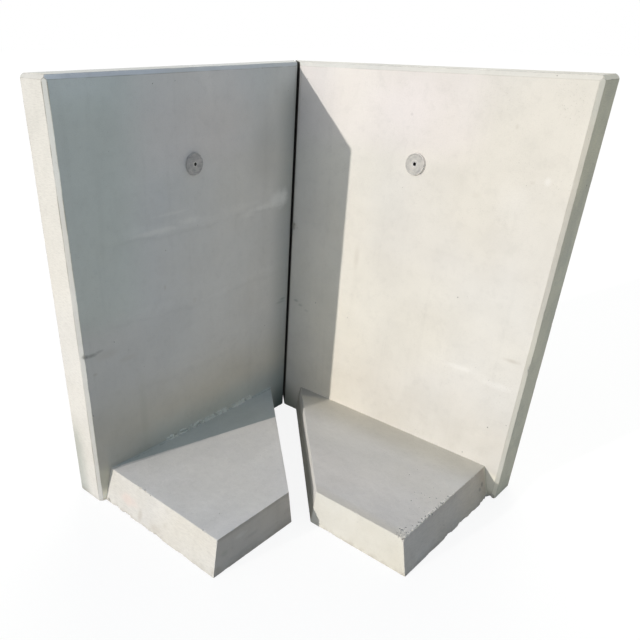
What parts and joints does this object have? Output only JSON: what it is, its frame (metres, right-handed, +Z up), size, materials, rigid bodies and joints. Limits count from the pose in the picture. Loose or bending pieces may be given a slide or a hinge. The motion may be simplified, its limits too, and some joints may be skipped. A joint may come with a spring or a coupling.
{
  "type": "L-shaped retaining wall corner",
  "caption": "Precast concrete L-shaped retaining wall corner: handed units with mitred stems and feet, each with a cast-in lifting socket on the backfill side.",
  "frame": {"origin": "on the ground at the middle of the corner's square plan; the wall's outer corner is at -X +Y", "axes": "+Z up; the right unit runs along +X with its fair outer face on +Y, the left unit runs along -Y with its fair outer face on -X, and the backfill side is between them"},
  "size_m": [1, 1, 1.2],
  "materials": {
    "concrete": "fair precast concrete, smooth from a steel mould, weathered and chipped at the arrises",
    "zinc_steel": "zinc-plated steel sleeve, dull and smeared with cement",
    "plate_grey": "grey plate under a thin mottled cement film"
  },
  "bodies": {
    "root": {"right_unit": "concrete", "left_unit": "concrete", "right_lifting_socket": "zinc_steel", "left_lifting_socket": "zinc_steel", "right_socket_plate": "plate_grey", "left_socket_plate": "plate_grey"}
  },
  "joints": []
}
